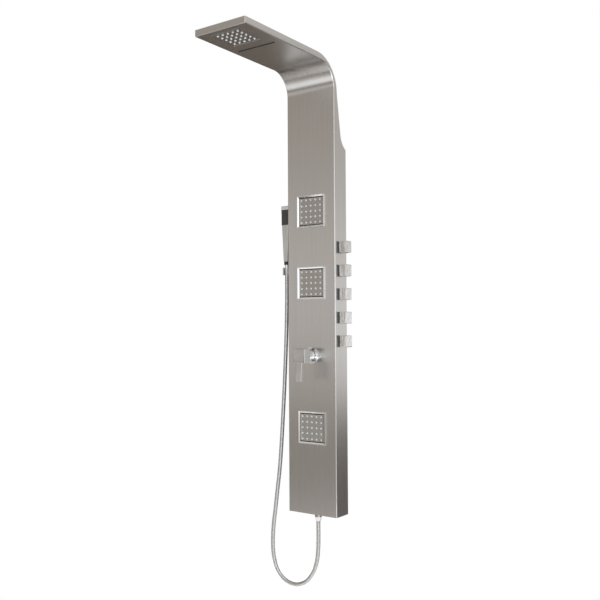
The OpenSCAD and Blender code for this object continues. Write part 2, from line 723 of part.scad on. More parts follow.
// The hose hangs from the outlet, turns up below the column and rises to the hand shower
hose_route = [[0, -36, -1212], [0, -36, -1240], [0, -36, -1280], [-1, -37, -1320],
    [-6, -38, -1360], [-20, -40, -1400], [-50, -42, -1436], [-93, -43, -1454], [-140, -43, -1446],
    [-175, -42, -1415], [-192, -41, -1370], [-197, -40, -1320], [-194, -39, -1260],
    [-186, -38, -1200], [-177, -37, -1130], [-168, -36, -1060], [-161, -36, -990],
    [-155, -36, -915], [-150, -36, -843], [-145, -36, -770], [-141, -36, -700], [-137, -36, -625],
    [-134, -36, -550], [-132, -36, -480], [-131, -36, -420], [-131, -36, -385], [-131, -36, -352]];
module hose() color(chrome) swept_tube(hose_route, hose_d, 2, 12);

module hand_nut() color(chrome) translate([hand_x, hand_y, 0]) difference() {
    union() {
        translate([0, 0, nut_foot]) cylinder(r1 = nut_foot_r, r2 = nut_top_r, h = 26);
        translate([0, 0, -cup_down - 2.01]) cylinder(r = 7.5, h = collar_z + cup_down + 2.01);
    }
    translate([0, 0, nut_foot - 1]) cylinder(r = hose_r + 0.2, h = nut_bore + 1);
}

module hand_collar() color(dark) translate([hand_x, hand_y, collar_z])
    linear_extrude(body_z - collar_z) soft_square(hand_foot_w - 2, hand_foot_w - 2, 3);

head_l = 55;
cap_l = 14;
module hand_body() color(chrome) {
    top = body_z + hand_l;
    difference() {
        hull() {
            translate([hand_x, hand_y, body_z]) linear_extrude(1)
                soft_square(hand_foot_w, hand_foot_w, 4, $fn = 32);
            translate([hand_x, hand_y, top - cap_l - 1]) linear_extrude(1)
                soft_square(hand_head_w, hand_d, 4, $fn = 32);
        }
        translate([hand_x - hand_head_w, hand_y - hand_d, top - cap_l - head_l])
            cube([2 * hand_head_w, hand_d / 2 + 4, head_l + 1]);
    }
}

module hand_face() color(dark) translate([hand_x, 0, body_z + hand_l - cap_l - head_l])
    translate([0, hand_y - hand_d / 2 + 0.2, 0]) {
        w = hand_head_w - 5;
        translate([-w / 2, 0, 0]) cube([w, 3.8, head_l]);
        for (i = [-2 : 2], j = [0 : 9]) translate([i * 4.6, 0.1, 5.5 + j * 4.9]) rotate([90, 0, 0])
            cylinder(r1 = 1.1, r2 = 0.8, h = 1, $fn = 16);
    }

module hand_cap() color(chrome) translate([hand_x, hand_y, body_z + hand_l - cap_l])
    linear_extrude(cap_l) soft_square(hand_head_w, hand_d, 4);

arm_w = 16;
module holder_base() color(chrome) difference() {
    union() {
        translate([-col_w / 2, hand_y, holder_z]) rotate([0, -90, 0])
            linear_extrude(5) soft_square(holder_screw_gap + 12, 24, 4);
        translate([hand_x + cup_r - 2, hand_y - arm_w / 2, holder_z - 9])
            cube([hand_out - cup_r + 2 - 4, arm_w, 18]);
    }
    rod_z(hand_x, hand_y, holder_z - 20, cup_r, 40);
    for (s = [-1, 1]) rod_x(-col_w / 2 - 10, hand_y, holder_z + s * holder_screw_gap / 2, screw_r, 12);
}

module holder_cup() color(chrome) translate([hand_x, hand_y, -cup_down - cup_h]) difference() {
    cylinder(r = cup_r, h = cup_h);
    translate([0, 0, nut_foot + cup_down + cup_h]) cylinder(r1 = nut_foot_r + cup_slack,
        r2 = nut_top_r + cup_slack, h = 26);
    translate([0, 0, nut_foot + cup_down + cup_h + 25.99]) cylinder(r = nut_top_r + cup_slack, h = 40);
    rotate([0, 0, 200]) translate([-hose_r - 0.6, 0, -1]) cube([hose_d + 1.2, cup_r + 2, cup_h + 2]);
}

module holder_screws() color(steel) for (s = [-1, 1])
    translate([-col_w / 2 - 5, hand_y, holder_z + s * holder_screw_gap / 2]) rotate([0, 90, 0]) {
        translate([0, 0, -0.01]) cylinder(r = screw_r - 0.05, h = 11);
        translate([0, 0, 5 + sheet_t]) cylinder(r = 4, h = 2.5, $fn = 6);
        translate([0, 0, -1.2]) cylinder(r1 = screw_r + 0.6, r2 = screw_r + 1.4, h = 1.2);
    }

casing();
arm_cover();
bottom_cap();
hanger_rail();
upper_bracket();
lower_bracket();
spray_plate();
rain_nozzles();
rain_gasket();
rain_chamber();
cascade_spout();
jet_frame(-jet_upper);  // upper_jet_frame
jet_frame(-jet_middle);  // middle_jet_frame
jet_frame(-jet_lower);  // lower_jet_frame
jet_plate(-jet_upper);  // upper_jet_plate
jet_plate(-jet_middle);  // middle_jet_plate
jet_plate(-jet_lower);  // lower_jet_plate
jet_nozzles(-jet_upper);  // upper_jet_nozzles
jet_nozzles(-jet_middle);  // middle_jet_nozzles
jet_nozzles(-jet_lower);  // lower_jet_nozzles
manifold();
valve_cartridges();
knob_collars();
knob(0);  // rain_knob
knob(1);  // cascade_knob
knob(2);  // upper_jets_knob
knob(3);  // lower_jet_knob
knob(4);  // hand_knob
spindle(0);  // rain_spindle
spindle(1);  // cascade_spindle
spindle(2);  // upper_jets_spindle
spindle(3);  // lower_jet_spindle
spindle(4);  // hand_spindle
mixer_valve();
mixer_cartridge();
mixer_flange();
mixer_sleeve();
stem_carrier();
carrier_pin();
mixer_stem();
mixer_hub();
mixer_lever();
inlet_strainers();
feed_tube();
rain_tube();
cascade_tube();
jet_tubes();
hand_tube();
hand_outlet();
outlet_nut();
hose();
hand_nut();
hand_collar();
hand_body();
hand_face();
hand_cap();
holder_base();
holder_cup();
holder_screws();
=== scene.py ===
import math

import bmesh
import bpy
from mathutils import Matrix, Vector


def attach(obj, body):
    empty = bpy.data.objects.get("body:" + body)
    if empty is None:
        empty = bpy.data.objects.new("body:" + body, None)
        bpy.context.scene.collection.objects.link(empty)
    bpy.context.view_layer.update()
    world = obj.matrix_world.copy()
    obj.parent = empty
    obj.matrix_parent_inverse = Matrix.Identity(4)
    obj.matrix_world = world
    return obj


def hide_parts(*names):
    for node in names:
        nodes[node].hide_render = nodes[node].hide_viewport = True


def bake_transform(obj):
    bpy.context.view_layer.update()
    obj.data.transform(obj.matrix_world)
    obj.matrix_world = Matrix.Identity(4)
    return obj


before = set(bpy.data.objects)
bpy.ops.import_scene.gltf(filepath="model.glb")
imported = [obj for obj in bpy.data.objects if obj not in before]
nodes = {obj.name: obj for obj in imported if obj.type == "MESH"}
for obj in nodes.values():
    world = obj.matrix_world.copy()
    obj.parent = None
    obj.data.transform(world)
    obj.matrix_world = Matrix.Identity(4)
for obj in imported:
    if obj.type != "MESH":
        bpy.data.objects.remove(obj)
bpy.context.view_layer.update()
mm = 0.001
slack = 1e-5    # how far apart two places may be and still count as the same

cameraSettings = {
    "place": (1.5750, -2.3423, -0.5389),
    "turn": 35.56,     # degrees to the left of straight ahead
    "rise": 1.84,      # degrees upwards
    "roll": -0.30,
    "lens": 47.69,
}


def makeCamera(settings):
    turn, rise, roll = (math.radians(settings[k]) for k in ("turn", "rise", "roll"))
    forwards = Vector((-math.sin(turn) * math.cos(rise), math.cos(turn) * math.cos(rise), math.sin(rise)))
    level = Vector((math.cos(turn), math.sin(turn), 0))
    upright = level.cross(forwards)
    right = math.cos(roll) * level + math.sin(roll) * upright
    up = -math.sin(roll) * level + math.cos(roll) * upright
    lens = bpy.data.cameras.new("studioCamera")
    lens.lens = settings["lens"]
    lens.sensor_width = 36
    lens.clip_start = 0.05
    camera = bpy.data.objects.new("studioCamera", lens)
    turned = Matrix((right, up, -forwards)).transposed().to_4x4()
    camera.matrix_world = Matrix.Translation(settings["place"]) @ turned
    bpy.context.scene.collection.objects.link(camera)
    bpy.context.scene.camera = camera


makeCamera(cameraSettings)
bpy.context.scene.view_settings.view_transform = "Standard"
print("camera placed")

# tools for making pieces
def clearSelection():
    if bpy.context.object and bpy.context.object.mode != "OBJECT":
        bpy.ops.object.mode_set(mode="OBJECT")
    bpy.ops.object.select_all(action="DESELECT")


def activate(piece):
    clearSelection()
    piece.select_set(True)
    bpy.context.view_layer.objects.active = piece


def startEdit(piece, kind="FACE"):
    activate(piece)
    bpy.ops.object.mode_set(mode="EDIT")
    bpy.ops.mesh.select_mode(type=kind)
    bpy.ops.mesh.select_all(action="DESELECT")


def endEdit():
    bpy.ops.object.mode_set(mode="OBJECT")


def selectOnly(piece, shape, picked):
    for part in (*shape.verts, *shape.edges, *shape.faces):
        part.select = False
    for part in picked:
        part.select_set(True)
    bmesh.update_edit_mesh(piece.data)


def pickFaces(piece, wanted):       # wanted is asked about a face's centre and normal
    shape = bmesh.from_edit_mesh(piece.data)
    selectOnly(piece, shape, [face for face in shape.faces if wanted(face.calc_center_median(), face.normal)])


def pickEdges(piece, wanted):       # wanted is asked about an edge's two ends
    shape = bmesh.from_edit_mesh(piece.data)
    selectOnly(piece, shape, [edge for edge in shape.edges if wanted(edge.verts[0].co, edge.verts[1].co)])


def addBlock(name, low, high):
    clearSelection()
    low, high = Vector(low), Vector(high)
    bpy.ops.mesh.primitive_cube_add(size=1, location=(low + high) / 2)
    piece = bpy.context.object
    piece.name = piece.data.name = name
    piece.scale = high - low
    bpy.ops.object.transform_apply(location=True, rotation=True, scale=True)
    return piece


def addRod(name, start, axis, radius, length, sides=48, tip=None):
    clearSelection()
    middle = Vector(start) + Vector(axis) * length / 2
    turned = Vector(axis).to_track_quat("Z", "Y").to_euler()
    bpy.ops.mesh.primitive_cone_add(vertices=sides, radius1=radius, radius2=radius if tip is None else tip,
                                    depth=length, location=middle, rotation=turned)
    piece = bpy.context.object
    piece.name = piece.data.name = name
    bpy.ops.object.transform_apply(location=True, rotation=True, scale=True)
    return piece


def applyModifier(piece, kind, **values):
    activate(piece)
    modifier = piece.modifiers.new(kind.lower(), kind)
    for key, value in values.items():
        setattr(modifier, key, value)
    bpy.ops.object.modifier_apply(modifier=modifier.name)


def cutAway(piece, cutter):
    applyModifier(piece, "BOOLEAN", operation="DIFFERENCE", object=cutter, solver="EXACT")
    bpy.data.objects.remove(cutter)


def joinPieces(name, pieces):
    clearSelection()
    for piece in pieces:
        piece.select_set(True)
    bpy.context.view_layer.objects.active = pieces[0]
    bpy.ops.object.join()
    pieces[0].name = pieces[0].data.name = name
    return pieces[0]


def copyPiece(piece, name, shift):
    activate(piece)
    bpy.ops.object.duplicate()
    twin = bpy.context.object
    twin.name = twin.data.name = name
    twin.location = shift
    bpy.ops.object.transform_apply(location=True, rotation=True, scale=True)
    return twin


def softenEdges(piece, width, segments=2, sharp=30):
    if width:
        applyModifier(piece, "BEVEL", width=width, segments=segments, limit_method="ANGLE",
                      angle_limit=math.radians(sharp), harden_normals=False)
    activate(piece)
    bpy.ops.object.shade_smooth_by_angle(angle=math.radians(sharp + 8))
    applyModifier(piece, "WEIGHTED_NORMAL", keep_sharp=True, weight=90)


def finishPiece(piece, material, slotName, body, *replaced):
    piece.data.materials.clear()
    piece.data.materials.append(material)
    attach(piece, body)
    if replaced:
        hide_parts(*replaced)


hose = {
    "route": [(0, -36, -1212), (0, -36, -1240), (0, -36, -1280), (-1, -37, -1320),
              (-6, -38, -1360), (-20, -40, -1400), (-50, -42, -1436), (-93, -43, -1453.4),
              (-140, -43, -1445.5), (-175, -42, -1415), (-192, -41, -1370), (-197, -40, -1320),
              (-194, -39, -1260),
              (-186, -38, -1200), (-177, -37, -1130), (-168, -36, -1060), (-161, -36, -990),
              (-155, -36, -915), (-150, -36, -843), (-145, -36, -770), (-141, -36, -700), (-137, -36, -625),
              (-134, -36, -550), (-132, -36, -480), (-131, -36, -420), (-131, -36, -385), (-131, -36, -352)],
    "diameter": 0.014,
    "length": 1.47,
    "coilPitch": 0.0024,    # distance between the turns of the steel spiral
    "coilDepth": 0.07,      # groove between turns, as a share of the radius
    "plainEnd": 0.008,      # smooth sleeve at each end
    "stretchFrom": -0.62, "stretchTo": -0.365,      # heights of the hose run beside the hand shower
}


def smoothPath(points, steps):
    path = []
    last = len(points) - 1
    for i in range(last):
        a, b, c, d = points[max(i - 1, 0)], points[i], points[i + 1], points[min(i + 2, last)]
        for k in range(steps):
            t = k / steps
            path.append(0.5 * ((2 * b) + (c - a) * t + (2 * a - 5 * b + 4 * c - d) * t * t
                               + (3 * b - a - 3 * c + d) * t * t * t))
    path.append(points[last])
    return path


def evenPath(points, step):
    lengths = [0.0]
    for a, b in zip(points, points[1:]):
        lengths.append(lengths[-1] + (b - a).length)
    count = max(2, round(lengths[-1] / step))
    path, i = [], 0
    for k in range(count + 1):
        want = lengths[-1] * k / count
        while i < len(points) - 2 and lengths[i + 1] < want:
            i += 1
        share = (want - lengths[i]) / (lengths[i + 1] - lengths[i])
        path.append(points[i].lerp(points[i + 1], share))
    return path, lengths[-1]


def makeHose(values):
    rough = smoothPath([Vector(p) * mm for p in values["route"]], 12)
    path, total = evenPath(rough, values["coilPitch"] / 4)
    line = bpy.data.curves.new("showerHose", "CURVE")
    line.dimensions = "3D"
    line.bevel_depth = values["diameter"] / 2
    line.bevel_resolution = 3
    line.use_fill_caps = True
    spline = line.splines.new("POLY")
    spline.points.add(len(path) - 1)
    for k, (point, place) in enumerate(zip(spline.points, path)):
        point.co = (*place, 1)
        along = total * k / (len(path) - 1)
        grooved = values["plainEnd"] < along < total - values["plainEnd"]
        point.radius = 1 - (values["coilDepth"] if grooved and k % 4 == 0 else 0)
    piece = bpy.data.objects.new("showerHose", line)
    bpy.context.scene.collection.objects.link(piece)
    activate(piece)
    bpy.ops.object.convert(target="MESH")
    bpy.ops.object.shade_smooth()
    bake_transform(piece)
    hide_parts("hose")
    print("hose laid, metres:", round(total, 3))
    return piece


showerHose = makeHose(hose)


def newMaterial(name, **values):
    material = bpy.data.materials.new(name)
    material.use_nodes = True
    shader = material.node_tree.nodes["Principled BSDF"]
    for socket, value in values.items():
        shader.inputs[socket.replace("_", " ")].default_value = value
    return material, material.node_tree, shader


def addNode(tree, kind, **inputs):
    node = tree.nodes.new(kind)
    for socket, value in inputs.items():
        node.inputs[socket].default_value = value
    return node


def grainPattern(tree, vector, scale, detail=3.0, rough=0.6):
    placed = addNode(tree, "ShaderNodeMapping", Scale=scale)
    tree.links.new(vector, placed.inputs["Vector"])
    noise = addNode(tree, "ShaderNodeTexNoise", Scale=1.0, Detail=detail, Roughness=rough)
    tree.links.new(placed.outputs["Vector"], noise.inputs["Vector"])
    return noise.outputs["Fac"]


def spread(tree, fac, low, high, fromLow=0.3, fromHigh=0.7):
    mapped = addNode(tree, "ShaderNodeMapRange")
    mapped.inputs["From Min"].default_value = fromLow
    mapped.inputs["From Max"].default_value = fromHigh
    mapped.inputs["To Min"].default_value = low
    mapped.inputs["To Max"].default_value = high
    tree.links.new(fac, mapped.inputs["Value"])
    return mapped.outputs["Result"]


def blendColours(tree, fac, first, second):
    mix = tree.nodes.new("ShaderNodeMix")
    mix.data_type = "RGBA"
    mix.inputs[6].default_value = (*first, 1)
    mix.inputs[7].default_value = (*second, 1)
    tree.links.new(fac, mix.inputs[0])
    return mix.outputs[2]


def addBump(tree, shader, fac, strength, distance):
    bump = addNode(tree, "ShaderNodeBump", Strength=strength, Distance=distance)
    tree.links.new(fac, bump.inputs["Height"])
    tree.links.new(bump.outputs["Normal"], shader.inputs["Normal"])


brushed = {
    "light": (0.615, 0.60, 0.58),
    "dark": (0.575, 0.56, 0.54),
    "smoothest": 0.26,
    "roughest": 0.33,
    "stretch": 0.8,         # how far highlights smear across the grain
    "bump": 0.05, "bumpDepth": 0.00005,
    "fineGrain": (1500, 7, 1),
    "broadGrain": (170, 1.2, 1),
}


def makeBrushedSteel(values, name, scales, fromUv):
    material, tree, shader = newMaterial(name, Metallic=1.0, Anisotropic=values["stretch"] if fromUv else 0.0)
    coords = tree.nodes.new("ShaderNodeTexCoord")
    vector = coords.outputs["UV" if fromUv else "Object"]
    fine = grainPattern(tree, vector, scales[0])
    broad = grainPattern(tree, vector, scales[1], detail=2.0)
    both = addNode(tree, "ShaderNodeMath")
    both.operation = "ADD"
    tree.links.new(fine, both.inputs[0])
    tree.links.new(broad, both.inputs[1])
    fac = spread(tree, both.outputs[0], 0, 1, 0.75, 1.25)
    tree.links.new(blendColours(tree, fac, values["light"], values["dark"]), shader.inputs["Base Color"])
    tree.links.new(spread(tree, fine, values["smoothest"], values["roughest"]), shader.inputs["Roughness"])
    addBump(tree, shader, fine, values["bump"], values["bumpDepth"])
    if fromUv:
        tangent = tree.nodes.new("ShaderNodeTangent")
        tangent.direction_type = "UV_MAP"
        tangent.uv_map = "sheet"
        tree.links.new(tangent.outputs["Tangent"], shader.inputs["Tangent"])
    return material


def makePlain(name, light, dark, scale, roughness, metallic=0.0, bump=0.1, depth=0.0001):
    material, tree, shader = newMaterial(name, Metallic=metallic)
    coords = tree.nodes.new("ShaderNodeTexCoord")
    fac = grainPattern(tree, coords.outputs["Object"], scale)
    tree.links.new(blendColours(tree, spread(tree, fac, 0, 1), light, dark), shader.inputs["Base Color"])
    tree.links.new(spread(tree, fac, *roughness), shader.inputs["Roughness"])
    addBump(tree, shader, fac, bump, depth)
    return material


sheetSteel = makeBrushedSteel(brushed, "sheetSteel", (brushed["fineGrain"], brushed["broadGrain"]), True)
solidSteel = makeBrushedSteel(brushed, "solidSteel", ((900, 900, 8), (120, 120, 2)), False)
plateSteel = makePlain("plateSteel", light=(0.50, 0.485, 0.46), dark=(0.42, 0.405, 0.385),
                       scale=(700, 700, 700), roughness=(0.30, 0.42), metallic=1.0)
chrome = makePlain("polishedChrome", light=(0.76, 0.755, 0.745), dark=(0.70, 0.695, 0.685),
                   scale=(14, 14, 14), roughness=(0.07, 0.13), metallic=1.0, bump=0.02)
darkChrome = makePlain("softChrome", light=(0.56, 0.55, 0.535), dark=(0.50, 0.49, 0.475),
                       scale=(18, 18, 18), roughness=(0.09, 0.16), metallic=1.0, bump=0.02)
wavyChrome = makePlain("castChrome", light=(0.74, 0.735, 0.725), dark=(0.66, 0.655, 0.645),
                       scale=(38, 38, 12), roughness=(0.06, 0.12), metallic=1.0, bump=0.4, depth=0.006)
satinChrome = makePlain("hoseSteel", light=(0.60, 0.595, 0.585), dark=(0.42, 0.415, 0.41),
                        scale=(160, 160, 160), roughness=(0.12, 0.24), metallic=1.0, bump=0.05)
zinc = makePlain("zincSheet", light=(0.62, 0.62, 0.61), dark=(0.50, 0.50, 0.50),
                 scale=(60, 60, 60), roughness=(0.35, 0.5), metallic=1.0)
brassMetal = makePlain("turnedBrass", light=(0.80, 0.62, 0.32), dark=(0.66, 0.49, 0.23),
                       scale=(220, 220, 220), roughness=(0.22, 0.36), metallic=1.0)
silicone = makePlain("paleSilicone", light=(0.86, 0.86, 0.83), dark=(0.76, 0.76, 0.73),
                     scale=(300, 300, 300), roughness=(0.42, 0.58))
greySilicone = makePlain("greySilicone", light=(0.62, 0.61, 0.59), dark=(0.54, 0.53, 0.51),
                         scale=(300, 300, 300), roughness=(0.4, 0.55))
blackRubber = makePlain("blackRubber", light=(0.035, 0.034, 0.033), dark=(0.02, 0.02, 0.02),
                        scale=(400, 400, 400), roughness=(0.45, 0.65))
# dark plastic for dark parts, also used as painted shade in recesses and gaps
darkPlasticAndPaintedShade = makePlain("darkPlasticAndPaintedShade", light=(0.055, 0.053, 0.05), dark=(0.035, 0.034, 0.033),
                        scale=(500, 500, 500), roughness=(0.3, 0.42))
palePlastic = makePlain("mouldedPlastic", light=(0.80, 0.80, 0.76), dark=(0.72, 0.72, 0.68),
                        scale=(90, 90, 90), roughness=(0.38, 0.5))
tubePlastic = makePlain("innerTube", light=(0.82, 0.85, 0.85), dark=(0.74, 0.78, 0.79),
                        scale=(50, 50, 50), roughness=(0.15, 0.25), bump=0.05)
print("finishes ready")

showerHose.data.materials.append(satinChrome)

# casing: one folded sheet for column, bend and arm
casing = {
    "width": 0.200, "depth": 0.072, "foldRadius": 0.004, "foldSteps": 5, "sheet": 0.0015,
    "low": -1.190, "shoulder": 0.073, "neckTop": 0.115, "neckDepth": 0.040, "shoulderRadius": 0.068,
    "throat": 0.018, "bendRadius": 0.080, "bendSteps": 32,
    "outerRadius": 0.116, "armTop": 0.376, "armDepth": 0.022, "armEnd": -0.551,
    "jetHoles": (-0.140, -0.391, -0.893), "jetHole": 0.106,
    "sprayHole": 0.114, "sprayPlace": -0.472, "slotSize": (0.146, 0.006), "slotPlace": -0.372,
    "mixerHeight": -0.642, "mixerHole": 0.017, "cutReach": 0.01,
    "shoulderSteps": 10, "neckSteps": 3, "flatTop": 0.007, "armStops": (-0.30, -0.42),
    "fasciaEdge": 0.0016, "edge": 0.00035,
    "knobHeights": (-0.2695, -0.3505, -0.4315, -0.5125, -0.5935), "knobHole": 0.012,
}
frontFace = -casing["depth"]
bendY = frontFace - casing["bendRadius"]
armUnder = casing["armTop"] - casing["armDepth"]
bendZ = armUnder - casing["bendRadius"]
outerY = frontFace + casing["throat"] - casing["outerRadius"]
outerZ = casing["armTop"] - casing["outerRadius"]


def shoulderCurve(z):
    v = casing
    run, rise = v["neckDepth"] - v["depth"], v["neckTop"] - v["shoulder"]
    chord = math.hypot(run, rise)
    lift = math.sqrt(v["shoulderRadius"] ** 2 - chord * chord / 4)
    centreY = run / 2 + lift * rise / chord
    centreZ = v["shoulder"] + rise / 2 - lift * run / chord
    return centreY - math.sqrt(v["shoulderRadius"] ** 2 - (z - centreZ) ** 2)


def trimmedBack(point):
    v = casing
    y, z = point.y, point.z
    if z < bendZ + slack and y > bendY:             # column
        if z <= v["shoulder"] + slack:
            return 0.0, z
        if z <= v["neckTop"] + slack:
            return shoulderCurve(z), z
        if z <= outerZ:
            share = (z - v["neckTop"]) / (outerZ - v["neckTop"])
            first, second = frontFace + v["neckDepth"], frontFace + v["throat"]
            return first + (second - first) * share, z
        return outerY + math.sqrt(v["outerRadius"] ** 2 - (z - outerZ) ** 2), z
    if y > bendY:                                   # bend
        out = Vector((y - bendY, z - bendZ)).normalized()
        away = Vector((bendY - outerY, bendZ - outerZ))
        along = away.dot(out)
        reach = -along + math.sqrt(along * along - away.dot(away) + v["outerRadius"] ** 2)
        return bendY + out.x * reach, bendZ + out.y * reach
    if y > outerY:
        return y, outerZ + math.sqrt(v["outerRadius"] ** 2 - (y - outerY) ** 2)
    return y, v["armTop"]


def unrolled(point):
    x, y, z = point
    if z < bendZ and y > bendY:
        depth, along = y - frontFace, z
    elif y > bendY:
        out = Vector((y - bendY, z - bendZ))
        depth = out.length - casing["bendRadius"]
        along = bendZ + casing["bendRadius"] * math.atan2(out.y, out.x)
    else:
        depth, along = z - armUnder, bendZ + casing["bendRadius"] * math.pi / 2 + bendY - y
    side = 0 if abs(x) < casing["width"] / 2 - casing["foldRadius"] else math.copysign(1, x) * depth
    return x + side, along


def unwrapSheet(piece):
    while piece.data.uv_layers:
        piece.data.uv_layers.remove(piece.data.uv_layers[0])
    layer = piece.data.uv_layers.new(name="sheet")
    for loop in piece.data.loops:
        layer.data[loop.index].uv = unrolled(piece.data.vertices[loop.vertex_index].co)


def makeCasing(v):
    half = v["width"] / 2
    shell = addBlock("casingShell", (-half, frontFace, v["low"]), (half, 0, v["shoulder"]))
    startEdit(shell)
    pickFaces(shell, lambda c, n: abs(n.z) > 0.5 or n.y > 0.5)
    bpy.ops.mesh.delete(type="FACE")
    bpy.ops.mesh.select_mode(type="EDGE")
    pickEdges(shell, lambda a, b: max(a.y, b.y) < frontFace + slack and abs(a.x - b.x) < slack)
    bpy.ops.mesh.bevel(offset=v["foldRadius"], segments=v["foldSteps"], affect="EDGES")
    count = v["shoulderSteps"]
    heights = [v["shoulder"] + (v["neckTop"] - v["shoulder"]) * k / count for k in range(count + 1)]
    count = v["neckSteps"]
    heights += [v["neckTop"] + (outerZ - v["neckTop"]) * k / count for k in range(1, count + 1)]
    heights += [outerZ + v["flatTop"], bendZ]
    for low, high in zip(heights, heights[1:]):
        pickEdges(shell, lambda a, b: min(a.z, b.z) > low - slack)
        bpy.ops.mesh.extrude_region_move(TRANSFORM_OT_translate={"value": (0, 0, high - low)})
    pickEdges(shell, lambda a, b: min(a.z, b.z) > bendZ - slack)
    bpy.ops.mesh.spin(steps=v["bendSteps"], angle=-math.pi / 2, center=(0, bendY, bendZ), axis=(1, 0, 0))
    reaches = [bendY, outerY, *v["armStops"], v["armEnd"]]
    for near, far in zip(reaches, reaches[1:]):
        pickEdges(shell, lambda a, b: max(a.y, b.y) < near + slack)
        bpy.ops.mesh.extrude_region_move(TRANSFORM_OT_translate={"value": (0, far - near, 0)})
    shape = bmesh.from_edit_mesh(shell.data)
    for vert in shape.verts:                        # bring the flanges' back edges to the outline
        y, z = vert.co.y, vert.co.z
        far = math.hypot(y - bendY, z - bendZ)
        onColumn = z < bendZ + slack and y > -slack
        onBend = min(y - bendY, z - bendZ) > slack and far > v["bendRadius"] + v["depth"] - 10 * slack
        onArm = y < bendY + slack and z > armUnder + v["depth"] - 10 * slack
        if onColumn or onBend or onArm:
            vert.co.y, vert.co.z = trimmedBack(vert.co)
    bmesh.update_edit_mesh(shell.data)
    pickEdges(shell, lambda a, b: max(a.y, b.y) < v["armEnd"] + slack)
    bpy.ops.mesh.edge_face_add()                    # fascia across the front of the arm
    bpy.ops.mesh.select_all(action="SELECT")
    bpy.ops.mesh.remove_doubles(threshold=slack / 10)
    bpy.ops.mesh.normals_make_consistent(inside=False)
    shape = bmesh.from_edit_mesh(shell.data)
    front = max(shape.faces, key=lambda f: f.calc_area())
    if front.normal.y > 0:
        bpy.ops.mesh.flip_normals()
    pickEdges(shell, lambda a, b: max(a.y, b.y) < v["armEnd"] + slack
              and min(a.z, b.z) < v["armTop"] - 10 * slack)
    bpy.ops.mesh.bevel(offset=v["fasciaEdge"], segments=3, affect="EDGES")
    endEdit()
    applyModifier(shell, "SOLIDIFY", thickness=v["sheet"], offset=-1, use_even_offset=True)
    reach, a = v["cutReach"], v["jetHole"] / 2
    cutters = [addBlock("cut", (-a, frontFace - reach, z - a), (a, frontFace + reach, z + a))
               for z in v["jetHoles"]]
    openings = ((v["sprayPlace"], (v["sprayHole"], v["sprayHole"])), (v["slotPlace"], v["slotSize"]))
    for place, sizes in openings:                   # rain head and waterfall slot, under the arm
        a, b = (k / 2 for k in sizes)
        cutters.append(addBlock("cut", (-a, place - b, armUnder - reach), (a, place + b, armUnder + reach)))
    cutters.append(addRod("cut", (0, frontFace - reach, v["mixerHeight"]), (0, 1, 0), v["mixerHole"],
                          2 * reach))
    for z in v["knobHeights"]:
        cutters.append(addRod("cut", (half - reach, frontFace / 2, z), (1, 0, 0), v["knobHole"], 2 * reach))
    cutAway(shell, joinPieces("cut", cutters))
    softenEdges(shell, v["edge"], 2, 40)
    unwrapSheet(shell)
    finishPiece(shell, sheetSteel, "brushed_steel", "column", "casing")
    print("casing folded")


makeCasing(casing)

knob = {
    "base": 0.1074, "tip": 0.1309, "size": 0.040, "middle": -0.036, "cornerRadius": 0.0022,
    "crown": 0.0004, "land": 0.0026, "edge": 0.0006, "hollowRim": 0.003, "hollowDeep": 0.002,
    "bodies": ("rain", "cascade", "upper_jets", "lower_jet", "hand"),
}


def makeKnobs(v):
    half = v["size"] / 2
    first = casing["knobHeights"][0]
    block = addBlock("knobBlank", (v["base"], v["middle"] - half, first - half),
                     (v["tip"] - v["crown"], v["middle"] + half, first + half))
    startEdit(block, "EDGE")
    pickEdges(block, lambda a, b: abs(a.x - b.x) > 10 * mm)
    bpy.ops.mesh.bevel(offset=v["cornerRadius"], segments=5, affect="EDGES")
    bpy.ops.mesh.select_mode(type="FACE")
    pickFaces(block, lambda c, n: n.x > 0.9)
    bpy.ops.mesh.inset(thickness=v["land"], depth=0)
    bpy.ops.transform.translate(value=(v["crown"], 0, 0))
    pickFaces(block, lambda c, n: n.x < -0.9)
    bpy.ops.mesh.inset(thickness=v["hollowRim"], depth=-v["hollowDeep"])    # room for the spindle
    endEdit()
    softenEdges(block, v["edge"], 3, 25)
    for place, z in zip(v["bodies"], casing["knobHeights"]):
        piece = copyPiece(block, place + "KnobShell", (0, 0, z - first))
        finishPiece(piece, wavyChrome, "chrome", place + "_valve", place + "_knob")
    bpy.data.objects.remove(block)
    print("knobs made")


makeKnobs(knob)

# body jets: fixed frames and tilting plates
jet = {
    "frame": 0.113, "proud": 0.005, "land": 0.0022, "opening": 0.099, "box": 0.1054, "boxBack": -0.054,
    "floor": -0.0562, "step": 0.0008, "joint": 0.0001, "cornerRadius": 0.0025, "edge": 0.0005,
    "plate": 0.0974, "plateTall": 0.0935, "plateThick": 0.008, "plateCorner": 0.0012, "plateEdge": 0.0003,
    "rim": 0.003, "rimSlope": 0.0007, "recess": 0.0006,
    "pivotRadius": 0.0025, "pivotLong": 0.0025, "pivotSunk": 0.0003,
    "paintedShadeFrom": 0.0012,         # the housing's inside gets painted shade past this depth
    "names": ("upper", "middle", "lower"),
}


# painted shade: gives the chosen faces dark plastic as a second material
def paintShadeOnFaces(piece, wanted):
    piece.data.materials.append(darkPlasticAndPaintedShade)
    for face in piece.data.polygons:
        if wanted(face.center, face.normal):
            face.material_index = 1


